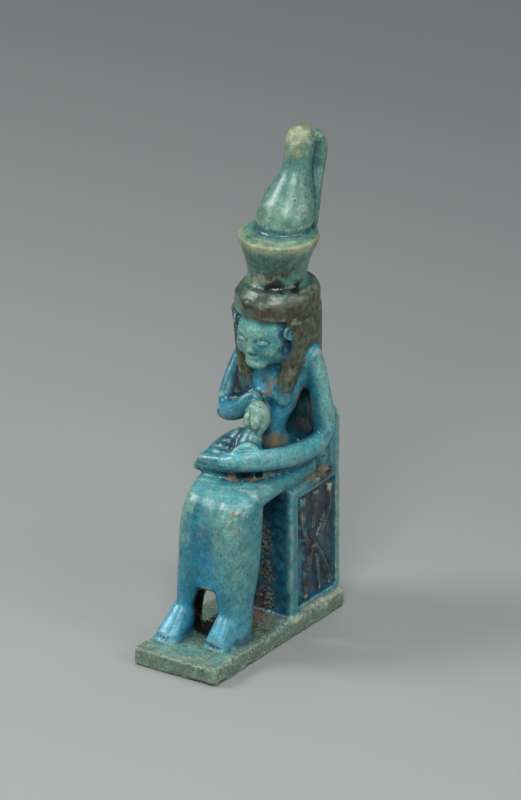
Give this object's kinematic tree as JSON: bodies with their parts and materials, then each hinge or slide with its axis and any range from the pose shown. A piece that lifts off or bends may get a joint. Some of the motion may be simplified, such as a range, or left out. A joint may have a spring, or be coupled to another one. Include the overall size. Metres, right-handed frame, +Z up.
{
  "type": "seated figure amulet",
  "caption": "Small glazed seated goddess nursing a child, tall double crown, low-backed throne, all in one piece on a thin slab. Stands on its underside.",
  "frame": {"origin": "centre of the bounding box at the slab's underside", "axes": "+Z up through the figure, -Y the way it looks, +X its own left"},
  "size_m": [0.0108, 0.0256, 0.053],
  "materials": {
    "glaze": "glossy turquoise glaze, pooled deep blue in the hollows, dark brown-violet patches and tan crust"
  },
  "bodies": {
    "root": {"amulet": "glaze"}
  },
  "joints": []
}
